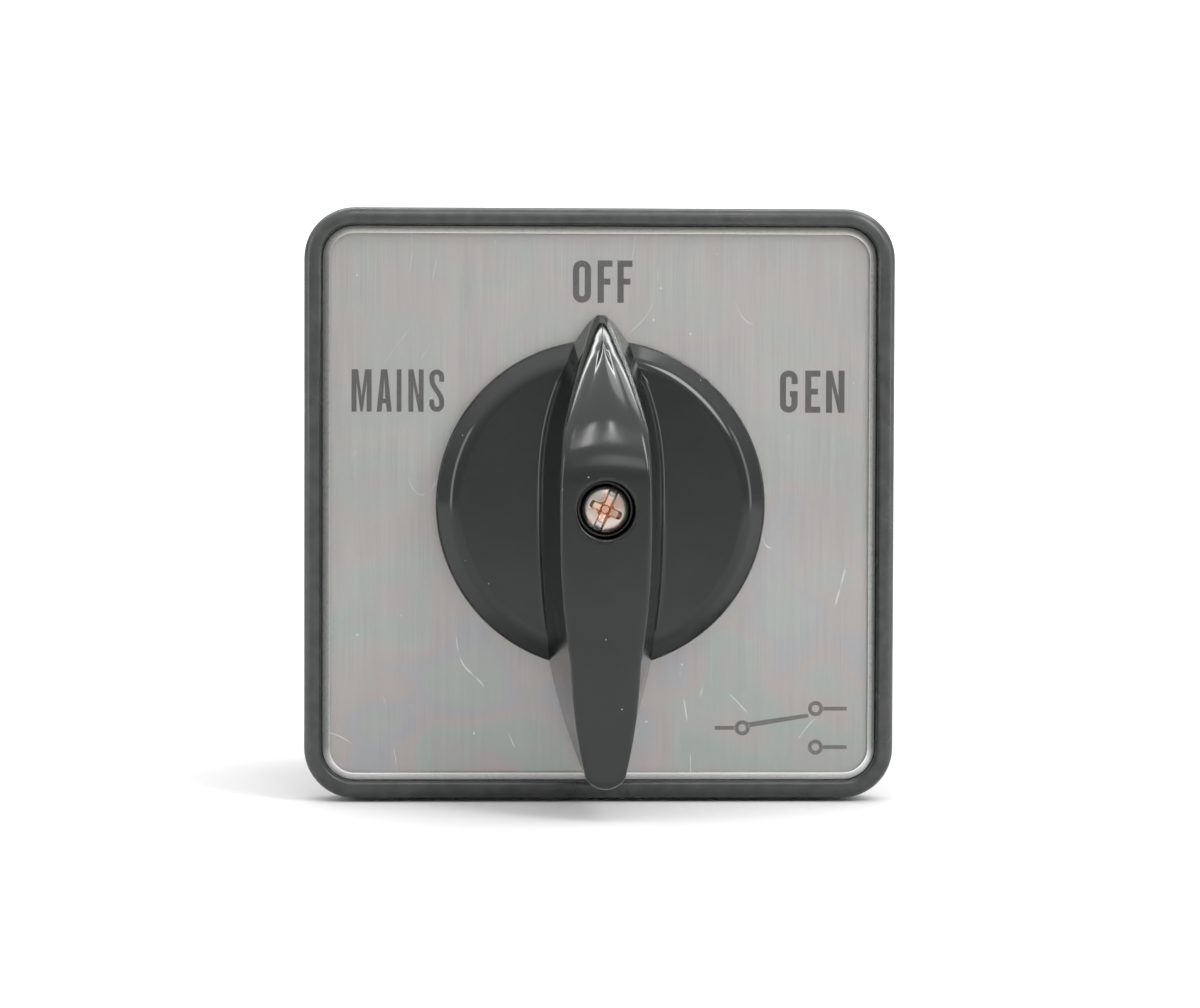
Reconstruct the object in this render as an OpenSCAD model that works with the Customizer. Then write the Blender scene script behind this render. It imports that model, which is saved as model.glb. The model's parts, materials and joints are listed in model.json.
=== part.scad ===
// Manual transfer switch: a three-position cam changeover switch for a panel (mains - off - generator).
//
// Every module draws its piece as the operator sees it: X to the right, Y up, Z out of the panel,
// with Z = 0 on the panel's front face and the shaft on the Z axis. stand_up() then turns the
// piece so that the front faces -Y and up is +Z. Lengths are in millimetres.

/* [Front plate] */
// Outside width of the square bezel
bezel_w = 64; // [63:1:84]
// Outside corner radius of the bezel
bezel_corner = 5.5; // [4:0.5:9]
// Width of the bezel's rim, seen from the front
bezel_rim = 1.9; // [1.4:0.1:3]
// Thickness of the bezel's floor
bezel_floor = 2; // [1.6:0.1:4]
// Thickness of the sealing gasket
gasket_t = 1; // [0.6:0.1:2]
// Thickness of the aluminium legend plate
legend_t = 0.5; // [0.3:0.1:1]
// Thickness of the clear window over the legend plate
window_t = 1.2; // [0.8:0.1:2]
// Width of the bevel round the window's edge
window_bevel = 0.8; // [0.3:0.1:1.2]

/* [Panel] */
// Thickness of the panel that the switch clamps
panel_t = 3; // [2.2:0.1:6]
// Distance from the bezel's edge to the panel screws' centre lines
screw_inset = 8; // [7:0.5:9]
// Radius of the panel screws
screw_r = 2; // [1.5:0.1:2.2]
// Room for the panel screws' heads, under the legend plate
screw_head_h = 2.2; // [1.6:0.1:3]

/* [Knob] */
// Diameter of the knob's disc
knob_d = 35.5; // [30:0.5:46]
// Height of the knob's disc
disc_h = 3.4; // [2.8:0.1:5]
// Distance from the shaft to the pointer's tip
tip_reach = 20.4; // [18:0.1:26]
// Distance from the shaft to the end of the tail
tail_reach = 29; // [22:0.5:34]
// Half width of the grip where it meets the disc
grip_half_w = 6.6; // [5.5:0.1:8]
// Height of the grip above the disc
grip_h = 15.6; // [13:0.1:20]
// Gap between the knob and the window
knob_gap = 0.9; // [0.5:0.1:2]

/* [Shaft] */
// Width across the flats of the square shaft
shaft_w = 6; // [5:0.5:7]
// Handle angle between two positions, in degrees
step_angle = 60; // [45:5:60]

/* [Switch body] */
// Distance from the body's sides to the panel screws' centre lines
body_inset = 1; // [0.5:0.1:1.2]
// Corner radius of the body
body_corner = 3; // [3:0.5:5]
// Number of switching decks, one for each pole
deck_count = 2; // [1:1:3]
// Depth of one switching deck
deck_h = 13; // [12.5:0.5:18]
// Depth of the latch housing
latch_h = 10; // [10:0.5:14]
// Thickness of the steel mounting plate
mount_plate_t = 2.5; // [2:0.5:4]
// Distance from the mounting plate's edge to the panel screws' centre lines
mount_plate_margin = 4; // [3.5:0.5:6]
// Thickness of the walls between pockets, and of each deck's floor
wall = 1.5; // [1.2:0.1:2]
// Thickness of the end cover
cover_t = 3.5; // [3:0.5:6]

/* [Contacts] */
// Travel of a contact between the off and the on position
contact_travel = 1.8; // [1.4:0.1:2]
// Radius of the cam under a contact in the off position
cam_mid_r = 7.3; // [7.2:0.1:7.6]
// Thickness of the copper strips and bridges
copper_t = 1; // [0.8:0.1:1.2]
// Wire diameter of the contact springs
spring_wire = 0.5; // [0.3:0.1:0.6]

/* [Hidden] */
$fn = 48;
DECK_PARTS = ["housing", "cam", "mains_plunger", "gen_plunger", "mains_bridge", "gen_bridge",
              "mains_spring", "gen_spring", "mains_line_contact", "mains_load_contact",
              "gen_line_contact", "gen_load_contact", "terminal_screws", "clamp_saddles", "load_link"];

// Colours
black_gloss = "#1c1e1e";
black_matt = "#26282a";
window_clear = [0.85, 0.9, 0.92, 0.35];
brushed_alloy = "#b4b2b0";
zinc = "#b9bcc0";
yellow_zinc = "#c9b06a";
spring_steel = "#9aa0a6";
copper_tone = "#b8743c";
brass_tone = "#c8a24a";
rubber_tone = "#2c2c2c";
cam_tone = "#d9d2c0";
plunger_tone = "#e6e2d6";

cut = 1;            // how far a cutting piece runs past what it cuts

// Clearances
slip = 0.05;        // a part that sits in another of the same body
run = 0.1;          // a part that turns or slides in another
head_gap = 0.2;     // between the screw heads and the legend plate
rim_proud = 0.5;    // the rim stands this far above the window
cam_gap = 0.15;     // between a cam and its follower
contact_gap = 0.1;  // left between two contact tips that are closed
hole_gap = 0.15;    // round the tie bolts in the mouldings
thread_gap = 0.02;  // round a screw in its own thread
drive_gap = 0.25;   // round a screw in a plain hole
plate_gap = 0.6;    // between the knob's hub and the legend plate and window round it

// Widths that follow the bezel
screw_pitch = bezel_w - 2 * screw_inset;
body_w = screw_pitch - 2 * body_inset;
mount_plate_w = screw_pitch + 2 * mount_plate_margin;
mount_plate_corner = 6;

// Heights on the front side
floor_top = gasket_t + bezel_floor;
legend_z = floor_top + screw_head_h + head_gap;
window_z = legend_z + legend_t;
window_top = window_z + window_t;
rim_top = window_top + rim_proud;
opening_w = bezel_w - 2 * bezel_rim;
opening_corner = bezel_corner - bezel_rim;
rim_edge = 1.1;           // size of the rounding on the rim's outer edge
gasket_inset = 0.5;       // the gasket stays this far inside the bezel's edge
ledge_w = 1.2;            // width of the ledge under the legend plate
boss_wall = 1.9;          // wall of the boss round the knob's hub
disc_z = window_top + knob_gap;
disc_top = disc_z + disc_h;
grip_top = disc_top + grip_h;

// Heights behind the panel
plate_back = -panel_t - mount_plate_t;
latch_back = plate_back - latch_h;
function deck_back(deck) = latch_back - deck * deck_h;
stack_back = deck_back(deck_count);
cover_back = stack_back - cover_t;

// Knob
hub_r = shaft_w + 0.2;
hub_end = gasket_t + 1;   // the hub under the disc reaches down to here
hub_bore_depth = disc_top + 7;
disc_slope_w = 2;         // width of the slope round the disc's face
rim_h = 0.5 * disc_h;     // height of the disc's upright side, up to the slope
skin_t = 1.8;             // thickness of the disc over its hollow
grip_floor = disc_z + 1.4;
draft = 0.12;             // how fast the grip's flanks lean in, as a slope
flat_end = 3;             // the grip's flat top ends this far in front of the shaft
nose_fall = 2;            // how the spine falls to the tip: 1 is straight, more is rounder
nose_power = 2.7;         // how the outline closes towards the tip, and how far past it it aims
nose_past = 0.35;
tail_power = 2.4;         // the same towards the tail
tail_past = 4;
tip_end_r = 0.95;
tail_end_r = 1.4;
nose_draft = 0.1;         // how much more the flanks lean in at the tip
nose_draft_from = 8;      // it begins this far in front of the shaft
nose_draft_over = 9;      // and is reached this much further
upright_from = 16;        // behind the shaft, the flanks begin to stand up here
upright_over = 13;        // and are upright this much further
screw_turn = 66;          // how far the knob screw's slot is turned from the pointer's line
seat_depth = 4;           // depth of the knob screw's counterbore
seat_r = 3.1;

// Fasteners: threads are drawn as plain cylinders at their pitch radius
panel_thread_r = screw_r - 0.23;
panel_hole_r = screw_r + 0.25;
knob_screw_r = 1.34;
knob_head_r = 2.65;
knob_head_h = 1.9;
knob_screw_bite = 9;      // how far the knob screw goes into the shaft
recess_reach = 1.6;
recess_depth = 1.1;
slot_half_w = 0.4;        // half width of a driving slot
tie_r = 1.5;
tie_y = body_w / 2 - 5;
tie_head_r = 2.75;
tie_head_h = 2.4;
tie_sink = 1;             // how deep the tie bolts' heads sit in the end cover
terminal_thread_r = 1.77;
terminal_head_r = 3.4;
terminal_head_h = 2.4;

// Rotor
hub_outer_r = shaft_w / sqrt(2) + 0.5;
journal_r = shaft_w / 2 - 0.1;
star_mid_r = 9.3;
star_wave = 0.9;
star_h = 4;
star_z = wall + 0.5;
stop_r = 14;
stop_half_w = 2;
stop_pin_r = 1.5;
stop_pin_at = 13;
stop_h = 2;
stop_z = star_z + star_h + 0.4;
stop_pin_turn = step_angle + asin((stop_half_w + stop_pin_r + slip) / stop_pin_at) + 0.3;
stop_pin_root = wall - 1;

// Detent springs
leaf_t = 0.5;
leaf_dip = 2.6;
leaf_dip_w = 3.2;
leaf_reach = 18;
leaf_y = star_mid_r - star_wave + 0.12 + leaf_dip + leaf_t / 2;

// Contacts, for one side: X runs out from the shaft
contact_z = deck_h / 2 + 1;
cam_h = 5;
chamber_half = 10;
cavity_r = cam_mid_r + contact_travel + 0.5;
strip_x = cavity_r + 0.6;
tip_h = 0.6;
tip_r = 1.4;
tip_y = 8.5;
strip_w = 6;
strip_start = 6.6;
strip_end = body_w / 2 - 1.5;
fixed_tip_x = strip_x + copper_t + tip_h;
bridge_x = fixed_tip_x + contact_gap + contact_travel + tip_h;
nose_r = 1.5;
nose_x = cam_mid_r + cam_gap + nose_r;
plunger_half_w = 4;
plunger_h = 4.8;
post_r = 1.4;
post_reach = 2;
chamber_end = body_w / 2 - wall;
spring_r = 2.4;
spring_turns = 4;

// Terminals
pocket_x = strip_x - run;
pocket_y = chamber_half + wall;
terminal_y = pocket_y + terminal_head_r + 0.5;
saddle_x = strip_x + copper_t + 3.6;
saddle_t = 1.2;
saddle_w = 7;
link_drop = 0.6;

module stand_up() { rotate([90, 0, 0]) children(); }

module corners(pitch) {
    for (x = [-1, 1], y = [-1, 1]) translate([x * pitch / 2, y * pitch / 2, 0]) children();
}

module rounded_square(w, r) {
    square([w, w - 2 * r], center = true);
    square([w - 2 * r, w], center = true);
    corners(w - 2 * r) circle(r);
}

module slab(w, r, from, to) {
    translate([0, 0, from]) linear_extrude(to - from) rounded_square(w, r);
}

module post(r, from, to) {
    translate([0, 0, from]) cylinder(r = r, h = to - from);
}

// A box from one corner to the other
module block(low, high) {
    translate(low) cube(high - low);
}

// The same piece on the other side of the shaft: side is 1 for the generator, -1 for the mains
module on_side(side) {
    if (side > 0) children();
    else mirror([1, 0, 0]) children();
}

// ---- Front plate ----

// A thin slice of the rim's rounded outer edge, at a turn from upright (0) to flat (90)
module rim_slice(turn) {
    in = rim_edge * (1 - cos(turn));
    top = rim_top - rim_edge + rim_edge * sin(turn);
    slab(bezel_w - 2 * in, bezel_corner - in, top - 0.02, top);
}

module bezel() {
    color(black_matt) difference() {
        union() {
            slab(bezel_w, bezel_corner, gasket_t, rim_top - rim_edge);
            for (step = [0:2]) hull() {
                rim_slice(step * 30);
                rim_slice(step * 30 + 30);
            }
        }
        difference() {
            slab(opening_w, opening_corner, floor_top, rim_top + cut);
            // the ledge that carries the legend plate, and the boss round the knob's hub
            difference() {
                slab(opening_w + cut, opening_corner, floor_top - cut, legend_z);
                slab(opening_w - 2 * ledge_w, opening_corner - ledge_w, floor_top - 2 * cut, legend_z + cut);
            }
            post(hub_r + run + boss_wall, floor_top - cut, legend_z);
        }
        post(hub_r + run, 0, rim_top);
        corners(screw_pitch) post(panel_hole_r, 0, floor_top + cut);
    }
}

module panel_gasket() {
    color(rubber_tone) difference() {
        slab(bezel_w - 2 * gasket_inset, bezel_corner - gasket_inset, 0, gasket_t);
        post(hub_r + run + boss_wall, -cut, gasket_t + cut);
        corners(screw_pitch) post(panel_hole_r, -cut, gasket_t + cut);
    }
}

module legend_plate() {
    color(brushed_alloy) difference() {
        slab(opening_w - 2 * run, opening_corner - run, legend_z, window_z);
        post(hub_r + plate_gap, legend_z - cut, window_z + cut);
    }
}

module clear_window() {
    color(window_clear) difference() {
        hull() {
            slab(opening_w - 2 * run, opening_corner - run, window_z, window_top - window_bevel);
            slab(opening_w - 2 * run - 2 * window_bevel, opening_corner - run - window_bevel,
                 window_z, window_top);
        }
        post(hub_r + plate_gap, window_z - cut, window_top + cut);
    }
}

// ---- Knob ----

// u runs along the grip, with the pointer's tip at +u and the tail at -u

// Half width of the grip at the disc's top. Each half is a parabola-like curve that would reach
// zero past the end, and the end itself is rounded off
function outline(u, reach, past, power, end_r) =
    let (into_end = max(0, u - reach + end_r) / end_r)
    grip_half_w * (1 - pow(u / (reach + past), power)) * sqrt(max(0, 1 - pow(into_end, 2)));
function grip_half(u) =
    u > 0 ? outline(u, tip_reach, nose_past, nose_power, tip_end_r)
          : outline(-u, tail_reach, tail_past, tail_power, tail_end_r);
// Height of the grip's top: a nose that falls to the tip, a flat, and a rounded tail
function grip_z(u) =
    u > flat_end ? grip_top - (grip_top - grip_floor - 1)
        * pow((u - flat_end) / (tip_reach + 0.3 - flat_end), nose_fall)
    : u < tail_end_r - tail_reach
        ? grip_top - tail_end_r + sqrt(max(0, pow(tail_end_r, 2) - pow(tail_end_r - tail_reach - u, 2)))
    : grip_top;
// Radius of the rounding along the top edges: wider on the nose
function grip_round(u) = 0.4 + 0.8 * min(1, max(0, (u - flat_end) / 10));
// The flanks lean in more towards the tip, and stand nearly upright at the tail
function grip_draft(u) =
    u > 0 ? draft + nose_draft * min(1, max(0, (u - nose_draft_from) / nose_draft_over))
          : draft * (1 - min(1, max(0, (-u - upright_from) / upright_over)));
function grip_half_at(u, z) = max(0.3, grip_half(u) - grip_draft(u) * (z - disc_top));

// One cross section, from the lower left corner over the top to the lower right one
function grip_section(u) =
    let (top = grip_z(u), edge = min(grip_round(u), top - grip_floor - 0.3),
         shoulder = grip_half_at(u, top - edge), round_w = min(edge, shoulder - 0.15),
         right = [for (turn = [90:-22.5:0])
             [shoulder - round_w + round_w * cos(turn), top - edge + edge * sin(turn)]],
         foot = [grip_half_at(u, grip_floor), grip_floor],
         half_points = concat(right, [foot]), count = len(half_points))
    concat([for (i = [count - 1:-1:0]) [-half_points[i][0], u, half_points[i][1]]],
           [for (p = half_points) [p[0], u, p[1]]]);

// A closed skin over a row of cross sections that all have the same number of points
module skin(sections) {
    ring = len(sections[0]);
    last = len(sections) - 1;
    polyhedron(
        points = [for (s = sections) each s],
        faces = concat(
            [[for (i = [0:ring - 1]) i]],
            [for (s = [0:last - 1], i = [0:ring - 1])
                each let (a = s * ring + i, b = s * ring + (i + 1) % ring)
                    [[a, a + ring, b + ring], [a, b + ring, b]]],
            [[for (i = [ring - 1:-1:0]) last * ring + i]]));
}

module grip() {
    steps = 40;
    // stations crowd towards both ends, where the outline bends most
    skin([for (i = [0:steps])
        let (share = (1 - cos(180 * i / steps)) / 2)
        grip_section(-tail_reach + share * (tip_reach + tail_reach))]);
}

module knob_disc() {
    rotate_extrude($fn = 96) polygon([
        [0, disc_z], [knob_d / 2, disc_z], [knob_d / 2, disc_z + rim_h - 0.5],
        [knob_d / 2 - 0.3, disc_z + rim_h], [knob_d / 2 - disc_slope_w, disc_top], [0, disc_top]]);
}

module knob() {
    color(black_gloss) difference() {
        union() {
            knob_disc();
            post(hub_r, hub_end, disc_z + cut);
            grip();
        }
        // the moulding is hollow under the disc, between the rim and the hub
        difference() {
            post(knob_d / 2 - disc_slope_w, disc_z - cut, disc_top - skin_t);
            post(hub_r + cut, disc_z - 2 * cut, disc_top);
        }
        block([-shaft_w / 2 - slip, -shaft_w / 2 - slip, 0],
              [shaft_w / 2 + slip, shaft_w / 2 + slip, hub_bore_depth + slip]);
        post(knob_screw_r + drive_gap, hub_bore_depth, grip_top);
        post(seat_r, grip_top - seat_depth, grip_top + cut);
    }
}

module knob_screw() {
    seat = grip_top - seat_depth;
    color(yellow_zinc) rotate(screw_turn) difference() {
        union() {
            post(knob_screw_r, hub_bore_depth - knob_screw_bite, seat + 0.1);
            translate([0, 0, seat]) rotate_extrude() polygon([
                [0, 0], [knob_head_r, 0], [knob_head_r, knob_head_h * 0.45],
                [knob_head_r * 0.85, knob_head_h * 0.8], [knob_head_r * 0.5, knob_head_h],
                [0, knob_head_h]]);
        }
        // a slot right across and a shorter one across it
        for (slot = [[0, knob_head_r + cut], [90, recess_reach]]) rotate(slot[0])
            block([-slot[1], -slot_half_w, seat + knob_head_h - recess_depth],
                  [slot[1], slot_half_w, seat + knob_head_h + cut]);
    }
}

// ---- Rotor ----

module drive_shaft() {
    color(zinc) difference() {
        union() {
            block([-shaft_w / 2, -shaft_w / 2, stack_back + run],
                  [shaft_w / 2, shaft_w / 2, hub_bore_depth]);
            post(journal_r, cover_back + 1.2, stack_back + cut);
        }
        post(knob_screw_r + thread_gap, hub_bore_depth - knob_screw_bite - 1, hub_bore_depth + cut);
    }
}

module shaft_hole(from, to) {
    half = shaft_w / 2 + slip;
    block([-half, -half, from], [half, half, to]);
}

// Radius of the star wheel: six notches, one of them straight up
function star_r(turn) = star_mid_r - star_wave * cos(6 * (turn - 90));

module star_wheel() {
    color(cam_tone) translate([0, 0, latch_back]) difference() {
        union() {
            post(hub_outer_r, slip, latch_h + mount_plate_t - 0.2);
            translate([0, 0, star_z]) linear_extrude(star_h)
                polygon([for (turn = [0:3:357]) star_r(turn) * [cos(turn), sin(turn)]]);
        }
        shaft_hole(-cut, latch_h + mount_plate_t);
    }
}

// The finger meets a stop pin at each end of the handle's travel
module stop_disc() {
    color(spring_steel) translate([0, 0, latch_back]) difference() {
        union() {
            post(hub_outer_r + 2, stop_z, stop_z + stop_h);
            block([-stop_half_w, -stop_r, stop_z], [stop_half_w, 0, stop_z + stop_h]);
        }
        post(hub_outer_r + slip, stop_z - 1, stop_z + stop_h + 1);
    }
}

module at_stop_pins() {
    for (side = [-1, 1]) rotate(-90 + side * stop_pin_turn)
        translate([stop_pin_at, 0, latch_back + stop_pin_root]) children();
}

module stop_pins() {
    color(spring_steel) at_stop_pins() post(stop_pin_r, 0, stop_z + stop_h - stop_pin_root);
}

// Radius of a switching cam: a steady rise from the low top to the high bottom on both sides
function cam_r(turn) =
    let (from_right = turn > 180 ? turn - 360 : turn,
         slope_angle = abs(from_right) > 90 ? 180 - abs(from_right) : abs(from_right),
         up = from_right > 0 ? 1 : -1)
    cam_mid_r - up * contact_travel * min(1, slope_angle / step_angle);

module cam(deck) {
    color(cam_tone) translate([0, 0, deck_back(deck)]) difference() {
        union() {
            post(hub_outer_r, slip, deck_h - slip);
            translate([0, 0, contact_z - cam_h / 2]) linear_extrude(cam_h)
                polygon([for (turn = [0:3:357]) cam_r(turn) * [cos(turn), sin(turn)]]);
        }
        shaft_hole(-cut, deck_h + cut);
    }
}

// ---- Mounting plate and latch ----

module at_ties() {
    for (side = [-1, 1]) translate([0, side * tie_y, 0]) children();
}

module mounting_plate() {
    color(zinc) difference() {
        slab(mount_plate_w, mount_plate_corner, plate_back, -panel_t);
        post(hub_outer_r + run, plate_back - cut, 0);
        corners(screw_pitch) post(panel_thread_r, plate_back - cut, 0);
        at_ties() post(tie_r + thread_gap, plate_back - cut, 0);
    }
}

// A spring steel leaf with a nose that rests in a notch of the star wheel
function leaf_mid(x) = leaf_y - (abs(x) < leaf_dip_w ? leaf_dip * pow(cos(90 * x / leaf_dip_w), 2) : 0);

module detent_leaf() {
    xs = concat([-leaf_reach], [for (x = [-leaf_dip_w:leaf_dip_w / 10:leaf_dip_w + 0.01]) x], [leaf_reach]);
    last = len(xs) - 1;
    translate([0, 0, latch_back + star_z]) linear_extrude(star_h - 0.2) polygon(concat(
        [for (x = xs) [x, leaf_mid(x) - leaf_t / 2]],
        [for (i = [last:-1:0]) [xs[i], leaf_mid(xs[i]) + leaf_t / 2]]));
}

module detent_spring_top() { color(spring_steel) detent_leaf(); }
module detent_spring_bottom() { color(spring_steel) rotate(180) detent_leaf(); }

module latch_housing() {
    cavity_x = body_w / 2 - 3;
    cavity_y = stop_r + 0.5;
    anchor_x = leaf_reach - 2.5;
    color(black_matt) translate([0, 0, latch_back]) difference() {
        union() {
            slab(body_w, body_corner, 0, wall);
            difference() {
                slab(body_w, body_corner, 0, latch_h);
                block([-cavity_x, -cavity_y, wall], [cavity_x, cavity_y, latch_h + 1]);
            }
            for (x = [-1, 1], y = [-1, 1]) scale([x, y, 1])
                block([anchor_x, leaf_y - 1.8, 0], [cavity_x + 1, cavity_y + 1, star_z + star_h]);
        }
        post(hub_outer_r + run, -cut, latch_h);
        for (y = [-1, 1]) scale([1, y, 1])
            block([-leaf_reach - 0.2, leaf_y - leaf_t / 2 - slip, star_z - 0.2],
                  [leaf_reach + 0.2, leaf_y + leaf_t / 2 + slip, latch_h]);
        at_ties() post(tie_r + hole_gap, -cut, latch_h + cut);
        translate([0, 0, -latch_back]) at_stop_pins() post(stop_pin_r + slip / 2, -slip, 2);
    }
}

// ---- Switching decks ----

module deck_housing(deck) {
    color(black_matt) translate([0, 0, deck_back(deck)]) difference() {
        union() {
            slab(body_w, body_corner, 0, wall);
            block([-body_w / 2, -pocket_y, 0], [body_w / 2, pocket_y, deck_h]);
            block([-pocket_x, -body_w / 2, 0], [pocket_x, body_w / 2, deck_h]);
        }
        post(cavity_r, wall, deck_h + cut);
        post(hub_outer_r + run, -cut, deck_h);
        for (side = [-1, 1]) on_side(side) side_cuts();
        at_ties() post(tie_r + hole_gap, -cut, deck_h + cut);
    }
}

// One side of a deck: the contact chamber, the plunger's guide, and the ways for the two strips
module side_cuts() {
    block([bridge_x - contact_travel - tip_h, -chamber_half, wall], [chamber_end, chamber_half, deck_h + 1]);
    block([0, -plunger_half_w - run, contact_z - plunger_h / 2 - run],
          [chamber_end, plunger_half_w + run, deck_h + 1]);
    for (y = [-1, 1]) scale([1, y, 1]) {
        block([strip_x - slip, strip_start - slip, contact_z - strip_w / 2 - slip],
              [chamber_end, chamber_half, deck_h + 1]);
        block([strip_x - slip, chamber_half - 1, contact_z - strip_w / 2 - slip],
              [strip_x + copper_t + slip, pocket_y + 1, deck_h + 1]);
        translate([0, terminal_y, contact_z]) rotate([0, 90, 0])
            post(terminal_thread_r + 0.3, strip_x - 3, strip_x + 1);
    }
}

// Plunger and bridge, with the nose against the cam in the off position
module plunger(deck, side) {
    color(plunger_tone) translate([0, 0, deck_back(deck) + contact_z]) on_side(side) {
        translate([nose_x, 0, -plunger_h / 2]) cylinder(r = nose_r, h = plunger_h);
        block([nose_x, -plunger_half_w, -plunger_h / 2], [bridge_x, plunger_half_w, plunger_h / 2]);
        rotate([0, 90, 0]) post(post_r, bridge_x - 1, bridge_x + copper_t + post_reach);
    }
}

module bridge(deck, side) {
    color(copper_tone) translate([0, 0, deck_back(deck) + contact_z]) on_side(side) difference() {
        union() {
            block([bridge_x, -chamber_half + 0.6, -2], [bridge_x + copper_t, chamber_half - 0.6, 2]);
            for (y = [-tip_y, tip_y]) translate([0, y, 0]) rotate([0, 90, 0])
                post(tip_r, bridge_x - tip_h, bridge_x + copper_t / 2);
        }
        rotate([0, 90, 0]) post(post_r + slip, bridge_x - 1, bridge_x + 5);
    }
}

// A coil along X from the bridge to the chamber's wall, as a tube of six sides
module contact_spring(deck, side) {
    low = bridge_x + copper_t + spring_wire / 2 + slip;
    high = chamber_end - spring_wire / 2 - slip;
    steps = spring_turns * 14;
    mid_r = spring_r - spring_wire / 2;
    ring = [for (i = [0:steps])
        let (turn = 360 * i / 14, x = low + (high - low) * i / steps)
        [for (k = [0:5]) let (out = mid_r + spring_wire / 2 * cos(60 * k))
            [x + spring_wire / 2 * sin(60 * k), out * cos(turn), out * sin(turn)]]];
    color(spring_steel) translate([0, 0, deck_back(deck) + contact_z]) on_side(side) skin(ring);
}

// A fixed strip with its silver tip inside and its threaded terminal outside: up is 1 or -1
module fixed_contact(deck, side, up) {
    color(brass_tone) translate([0, 0, deck_back(deck) + contact_z]) on_side(side) scale([1, up, 1])
        difference() {
            union() {
                block([strip_x, strip_start, -strip_w / 2], [strip_x + copper_t, strip_end, strip_w / 2]);
                translate([0, tip_y, 0]) rotate([0, 90, 0])
                    post(tip_r, strip_x + copper_t / 2, fixed_tip_x);
            }
            translate([0, terminal_y, 0]) rotate([0, 90, 0])
                post(terminal_thread_r + 0.03, strip_x - 1, strip_x + 2);
        }
}

module at_terminals(deck) {
    for (side = [-1, 1], up = [-1, 1]) translate([0, 0, deck_back(deck) + contact_z])
        on_side(side) translate([0, up * terminal_y, 0]) children();
}

module terminal_screws(deck) {
    head_x = saddle_x + saddle_t;
    color(yellow_zinc) at_terminals(deck) rotate([0, 90, 0]) difference() {
        union() {
            post(terminal_thread_r, strip_x - 2, head_x + 0.1);
            post(terminal_head_r, head_x, head_x + terminal_head_h);
        }
        block([-0.5, -terminal_head_r - 1, head_x + terminal_head_h - 1.2],
              [0.5, terminal_head_r + 1, head_x + terminal_head_h + 1]);
    }
}

// Square clamp washers with two turned-down edges that keep the wire in
module clamp_saddles(deck) {
    half = saddle_w / 2;
    color(zinc) at_terminals(deck) difference() {
        union() {
            block([saddle_x, -half + 0.3, -half], [saddle_x + saddle_t, half, half]);
            for (z = [-1, 1]) scale([1, 1, z])
                block([saddle_x - 0.8, -half + 0.3, half - 0.8], [saddle_x + 0.1, half, half]);
        }
        rotate([0, 90, 0]) post(terminal_thread_r + 0.3, saddle_x - 1, saddle_x + saddle_t + 1);
    }
}

// Strap that joins the mains and the generator side at the load terminals
module load_link(deck) {
    leg_x = strip_x + copper_t + slip;
    low = -body_w / 2 - link_drop - copper_t;
    color(copper_tone) translate([0, 0, deck_back(deck) + contact_z]) {
        for (side = [-1, 1]) on_side(side) difference() {
            block([leg_x, low, -2.5], [leg_x + copper_t, -pocket_y - 0.5, 2.5]);
            translate([0, -terminal_y, 0]) rotate([0, 90, 0])
                post(terminal_thread_r + 0.3, leg_x - 1, leg_x + 2 * copper_t);
        }
        block([-leg_x - 0.1, low, -2.5], [leg_x + 0.1, low + copper_t, 2.5]);
    }
}

// ---- Rear ----

module end_cover() {
    color(black_matt) difference() {
        slab(body_w, body_corner, cover_back, stack_back);
        post(journal_r + run, cover_back + 1, stack_back + cut);
        at_ties() {
            post(tie_r + hole_gap, cover_back - cut, stack_back + cut);
            post(tie_head_r + 0.2, cover_back - cut, cover_back + tie_sink);
        }
    }
}

module tie_bolts() {
    seat = cover_back + tie_sink;
    color(zinc) at_ties() difference() {
        union() {
            post(tie_r, seat - 0.1, -panel_t - 0.2);
            post(tie_head_r, seat - tie_head_h, seat);
        }
        block([-tie_head_r - cut, -slot_half_w, seat - tie_head_h - cut],
              [tie_head_r + cut, slot_half_w, seat - tie_head_h + 1]);
    }
}

// ---- Nodes ----

stand_up() bezel();
stand_up() panel_gasket();
stand_up() legend_plate();
stand_up() clear_window();
stand_up() knob();
stand_up() knob_screw();
stand_up() drive_shaft();
stand_up() mounting_plate();
stand_up() latch_housing();
stand_up() star_wheel();
stand_up() stop_disc();
stand_up() stop_pins();
stand_up() detent_spring_top();
stand_up() detent_spring_bottom();
stand_up() end_cover();
stand_up() tie_bolts();

for (deck = [1:deck_count]) {
    prefix = str("deck_", deck, "_");
    stand_up() deck_housing(deck);
    stand_up() cam(deck);
    stand_up() plunger(deck, -1);
    stand_up() plunger(deck, 1);
    stand_up() bridge(deck, -1);
    stand_up() bridge(deck, 1);
    stand_up() contact_spring(deck, -1);
    stand_up() contact_spring(deck, 1);
    stand_up() fixed_contact(deck, -1, 1);
    stand_up() fixed_contact(deck, -1, -1);
    stand_up() fixed_contact(deck, 1, 1);
    stand_up() fixed_contact(deck, 1, -1);
    stand_up() terminal_screws(deck);
    stand_up() clamp_saddles(deck);
    stand_up() load_link(deck);
}
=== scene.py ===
import json

import bmesh
import bpy
import numpy as np
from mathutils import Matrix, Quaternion, Vector


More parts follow.
